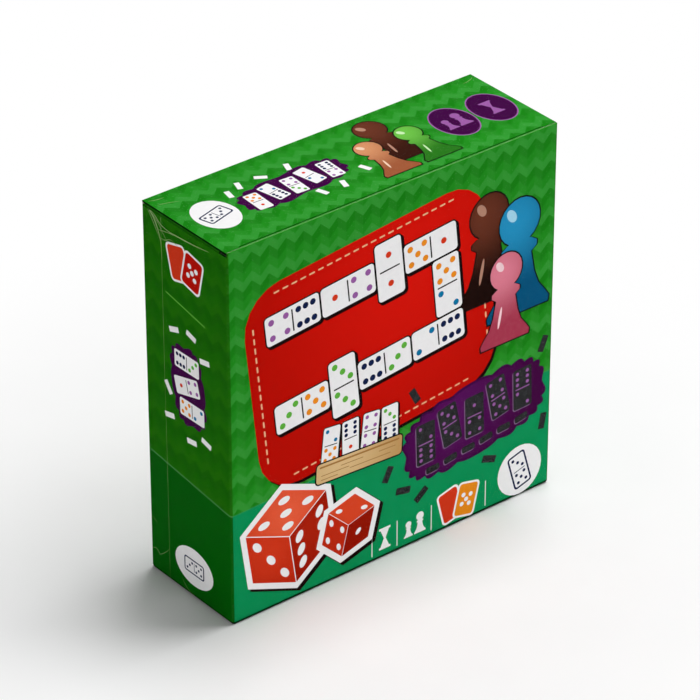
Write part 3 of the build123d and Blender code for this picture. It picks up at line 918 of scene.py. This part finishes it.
def film_folds(name, panel, body, lines):
    """Thin raised folds of film; lines are lists of (u, v, half width) in millimetres on the panel."""
    bpy.ops.object.select_all(action="DESELECT")
    bpy.ops.curve.primitive_nurbs_path_add()
    folds = bpy.context.object
    folds.name = folds.data.name = name
    folds.data.splines.clear()
    folds.data.bevel_depth = MM
    folds.data.bevel_resolution = 1
    folds.data.use_fill_caps = True
    for line in lines:
        spline = folds.data.splines.new("NURBS")
        spline.points.add(len(line) - 1)
        for point, (u, v, half_width) in zip(spline.points, line):
            point.co = (u * MM, v * MM, 0, 1)
            point.radius = half_width
        spline.order_u = 3
        spline.use_endpoint_u = True
        spline.resolution_u = 4
    bpy.ops.object.convert(target="MESH")
    folds = bpy.context.object
    folds.scale.z = FOLD_FLATNESS
    bpy.ops.object.transform_apply(location=False, rotation=False, scale=True)
    folds.data.materials.append(film_folds_painted_glint)
    folds.matrix_world = panel @ Matrix.Translation((0, 0, FOLD_MIDDLE * MM))
    bpy.ops.object.transform_apply(location=True, rotation=True, scale=True)
    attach(folds, body)


clear_film = film_material("clear_shrink_film", ("#E6ECE9", "#F4F8F6"), 0.0008, 0.15, 1.0)
# Painted highlight: the folds and seams are coloured pale green at half opacity, standing for light caught on
# the gathered film over the green print.
film_folds_painted_glint = film_material("shrink_film_folds_painted_glint", ("#94CC62", "#C4E89C"), 0.5, 0.25, 0.0)
for node in ("film_sleeve", "film_base", "film_lid"):
    finish(node, clear_film)
SIDE_FOLDS = (
    ((22.6, 176.7, 0.35), (19.9, 174.7, 0.4), (17.4, 170.7, 0.35), (14.9, 164.8, 0.25), (14.9, 156.8, 0.1)),
    ((22.0, 176.8, 0.2), (19.2, 176.2, 0.25), (15.9, 173.2, 0.2), (9.9, 172.1, 0.15), (4.5, 172.6, 0.22),
     (-7.9, 173.3, 0.32), (-16.9, 174.7, 0.08)),
    ((16.8, 170.2, 0.1), (7.2, 172.3, 0.2), (1.8, 172.6, 0.25), (-7.9, 173.3, 0.12)),
    ((16.0, 167.0, 0.1), (12.8, 166.6, 0.2), (9.3, 169.1, 0.2), (6.6, 168.8, 0.12), (3.3, 168.0, 0.05)),
    ((20.6, 175.6, 0.12), (17.0, 173.6, 0.15), (13.5, 169.2, 0.15), (9.6, 166.2, 0.05)),
    ((23.8, 176.6, 0.1), (21.5, 174.0, 0.2), (18.6, 170.0, 0.2), (16.0, 166.0, 0.05)),
    ((27.0, 26.7, 0.06), (24.6, 26.0, 0.15), (22.8, 24.9, 0.05)),
    ((27.0, 10.4, 0.08), (23.6, 12.9, 0.2), (22.3, 9.4, 0.08)),
    ((22.3, 9.4, 0.06), (18.5, 11.5, 0.15), (15.0, 15.8, 0.05)),
    ((6.2, 5.5, 0.05), (3.5, 1.3, 0.18), (-2.1, 1.1, 0.05)),
    ((SEAM_Y, 176.6, 0.09), (SEAM_Y + 0.2, 120.0, 0.05), (SEAM_Y - 0.2, 60.0, 0.07), (SEAM_Y, 0.8, 0.05)),
)
LID_FOLDS = (
    ((-85.6, 25.4, 0.1), (-82.5, 23.8, 0.25), (-79.0, 24.0, 0.05)),
    ((-85.0, 20.5, 0.05), (-80.5, 20.0, 0.18), (-76.0, 17.5, 0.05)),
    ((85.4, 25.0, 0.1), (82.0, 22.8, 0.22), (78.5, 23.2, 0.05)),
)
BACK_FOLDS = (
    ((-85.0, 176.4, 0.25), (-80.0, 172.0, 0.3), (-70.0, 169.5, 0.15), (-60.0, 170.5, 0.05)),
    ((-84.0, 174.0, 0.2), (-79.0, 166.0, 0.25), (-78.0, 158.0, 0.05)),
    ((85.0, 3.0, 0.2), (79.0, 7.5, 0.25), (70.0, 8.0, 0.05)),
)
for name, toward in (("left", -1), ("right", 1)):
    film_folds(name + "_film_folds", sides[name], "carton",
               [[(toward * y, z, half) for y, z, half in line] for line in SIDE_FOLDS])
film_folds("lid_film_folds", top, "lid", LID_FOLDS)
film_folds("back_film_folds", back, "carton", BACK_FOLDS)

# Studio floor: a matt white sweep under even light from all round. Far from the object it is plain white
# to the camera and to gloss. It lies a hair below the film, so that the two never share a plane.
FLOOR_SIZE = 8.0
FLOOR_DROP = 0.05
WHITE_FROM, WHITE_TO = 0.064, 0.283
SKY_STRENGTH = 0.17


def seen_rays(tree_owner):
    """One for rays from the camera, from gloss and through clear parts, and nought for the rest."""
    paths = add(tree_owner, "LightPath").node
    seen = add(tree_owner, "Math", {0: paths.outputs["Is Camera Ray"], 1: paths.outputs["Is Glossy Ray"]},
               operation="MAXIMUM")
    return add(tree_owner, "Math", {0: seen, 1: paths.outputs["Is Transmission Ray"]}, operation="MAXIMUM")


def studio_floor():
    """Matt white card that runs out to plain white."""
    material = start_material("matt_studio_floor", {"Roughness": 0.9, "Specular IOR Level": 0.0})
    metres = add(material, "TexCoord", out="Object")
    grain = add(material, "TexNoise", {"Vector": metres, "Scale": 25.0, "Detail": 3.0})
    ramp = add(material, "ValToRGB", {0: grain}, out="Color")
    surfaced(material, set_stops(ramp, [(0.3, "#F6F6F6"), (0.7, "#F8F8F8")]))
    away = add(material, "VectorMath", {0: metres}, out="Value", operation="LENGTH")
    far = add(material, "MapRange", {0: away, 1: WHITE_FROM, 2: WHITE_TO}, interpolation_type="SMOOTHSTEP")
    factor = add(material, "Math", {0: far, 1: seen_rays(material)}, operation="MULTIPLY")
    glow = add(material, "Emission", {"Color": (1, 1, 1, 1), "Strength": 1.0})
    tree = material.node_tree
    mixed = add(material, "MixShader", {0: factor, 1: tree.nodes["Principled BSDF"].outputs[0], 2: glow})
    tree.links.new(mixed, tree.nodes["Material Output"].inputs["Surface"])
    return material


bpy.ops.object.select_all(action="DESELECT")
bpy.ops.mesh.primitive_plane_add(size=FLOOR_SIZE, location=(0, 0, -FLOOR_DROP * MM))
floor = bpy.context.object
floor.name = "studio_floor"
floor.data.materials.append(studio_floor())
world = bpy.data.worlds.new("studio_light")
bpy.context.scene.world = world
world.use_nodes = True
sky = world.node_tree.nodes["Background"]
sky.inputs["Color"].default_value = (1, 1, 1, 1)
bright = add(world, "MapRange", {0: seen_rays(world), 3: SKY_STRENGTH, 4: 1.0})
world.node_tree.links.new(bright, sky.inputs["Strength"])

# Lamps: two soft lamps high on the right, whose shadows fall to the left, and two low wide ones that fill
# the front and the left side and hardly touch the floor.
LAMPS = (
    ("right_lamp", 70.0, 50.0, 2.0, (1.0, 1.0), 18.9),
    ("high_lamp", 110.0, 78.0, 2.0, (0.6, 0.6), 18.1),
    ("front_lamp", 8.0, 4.0, 2.2, (1.2, 0.4), 11.7),
    ("left_lamp", -90.0, 4.0, 2.2, (1.2, 0.4), 10.9),
)


def bearing(azimuth, elevation):
    """The way from the object to what stands at an azimuth and elevation in degrees."""
    a, e = radians(azimuth), radians(elevation)
    return Vector((sin(a) * cos(e), -cos(a) * cos(e), sin(e)))


for name, azimuth, elevation, distance, (across, tall), power in LAMPS:
    lamp_data = bpy.data.lights.new(name, "AREA")
    lamp_data.shape = "RECTANGLE"
    lamp_data.size = across
    lamp_data.size_y = tall
    lamp_data.energy = power
    lamp = bpy.data.objects.new(name, lamp_data)
    bpy.context.scene.collection.objects.link(lamp)
    outward = bearing(azimuth, elevation)
    turned = outward.to_track_quat("Z", "Y").to_matrix().to_4x4()
    lamp.matrix_world = Matrix.Translation(outward * distance) @ turned
    lamp.visible_camera = False

# Camera: it stands at the front left, above the object, with a long lens, as the picture was taken. Its place
# was fitted to the outline of the box.
AZIMUTH, ELEVATION = -38.96, 31.40
DISTANCE, LENS = 1.8263, 217.27
AIM_RIGHT, AIM_UP = -0.0013, 0.0749
camera_data = bpy.data.cameras.new("camera")
camera_data.lens = LENS
camera_data.sensor_width = 36.0
camera = bpy.data.objects.new("camera", camera_data)
bpy.context.scene.collection.objects.link(camera)
sight = bearing(AZIMUTH, ELEVATION)
picture_right = Vector((cos(radians(AZIMUTH)), sin(radians(AZIMUTH)), 0))
picture_up = sight.cross(picture_right)
stand = sight * DISTANCE + picture_right * AIM_RIGHT + picture_up * AIM_UP
turned = Matrix((picture_right, picture_up, sight)).transposed().to_4x4()
camera.matrix_world = Matrix.Translation(stand) @ turned
bpy.context.scene.camera = camera
bpy.context.scene.view_settings.view_transform = "Standard"
